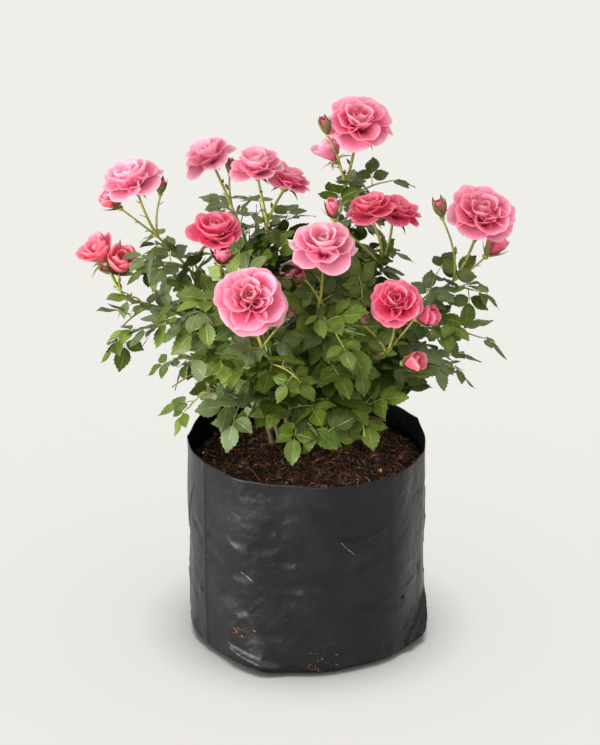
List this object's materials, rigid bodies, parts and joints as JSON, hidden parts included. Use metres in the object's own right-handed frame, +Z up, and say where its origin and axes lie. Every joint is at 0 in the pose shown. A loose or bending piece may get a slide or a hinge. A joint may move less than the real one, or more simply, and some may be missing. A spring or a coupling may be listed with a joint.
{
  "type": "potted rose bush",
  "caption": "Bushy patio rose with pink double blooms, buds and dark green leaves on canes that rise from compost in a round black film grow bag.",
  "frame": {"origin": "middle of the grow bag's flat underside, at floor level", "axes": "+Z up along the plant, front of the plant towards -Y, +X to the right seen from the front"},
  "size_m": [0.347, 0.2818, 0.4467],
  "materials": {
    "film": "satin black polythene film with soft creases",
    "compost": "damp coco compost with pale fibres",
    "cane": "smooth green young bark",
    "foliage": "satin dark green leaves",
    "petal": "soft pink petals, deeper towards the heart"
  },
  "bodies": {
    "root": {"grow_bag": "film", "compost": "compost", "cane_left": "cane", "foliage_left": "foliage", "cane_upper_left": "cane", "foliage_upper_left": "foliage", "cane_upper_right": "cane", "foliage_upper_right": "foliage", "cane_right": "cane", "foliage_right": "foliage", "cane_front": "cane", "foliage_front": "foliage", "cane_front_left": "cane", "foliage_front_left": "foliage", "cane_back_left": "cane", "foliage_back_left": "foliage", "cane_back": "cane", "foliage_back": "foliage", "cane_back_right": "cane", "foliage_back_right": "foliage"}
  },
  "joints": []
}
